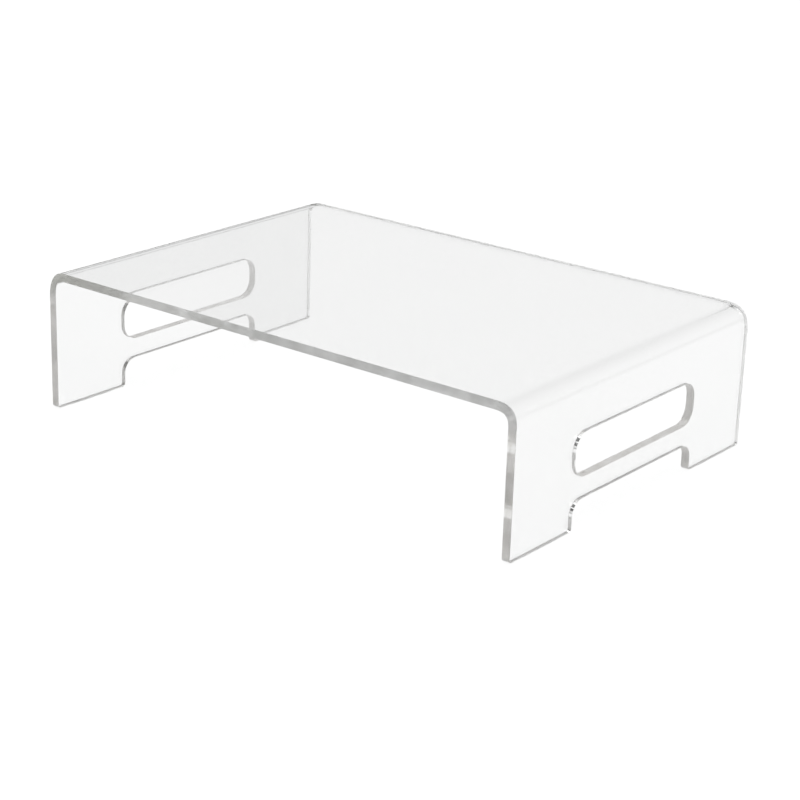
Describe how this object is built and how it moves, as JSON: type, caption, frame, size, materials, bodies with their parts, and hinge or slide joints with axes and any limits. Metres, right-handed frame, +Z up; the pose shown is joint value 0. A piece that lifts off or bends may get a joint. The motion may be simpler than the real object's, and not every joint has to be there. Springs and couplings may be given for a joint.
{
  "type": "monitor riser stand",
  "caption": "Clear acrylic desk riser: a sheet bent into a low bridge with a flat deck, two side legs, hand slots, open cable notches between the feet, and thin anti-slip pads.",
  "frame": {"origin": "on the desk, under the centre of the deck", "axes": "+X to the right along the deck's long side, +Y from the front edge to the back edge, +Z up out of the deck"},
  "size_m": [0.4, 0.272, 0.1016],
  "materials": {
    "clear_acrylic": "clear, polished faces and satin cut edges",
    "clear_silicone": "clear, soft, slightly cloudy"
  },
  "bodies": {
    "root": {"bent_sheet": "clear_acrylic", "anti_slip_pad_front_left": "clear_silicone", "anti_slip_pad_front_right": "clear_silicone", "anti_slip_pad_rear_left": "clear_silicone", "anti_slip_pad_rear_right": "clear_silicone"}
  },
  "joints": []
}
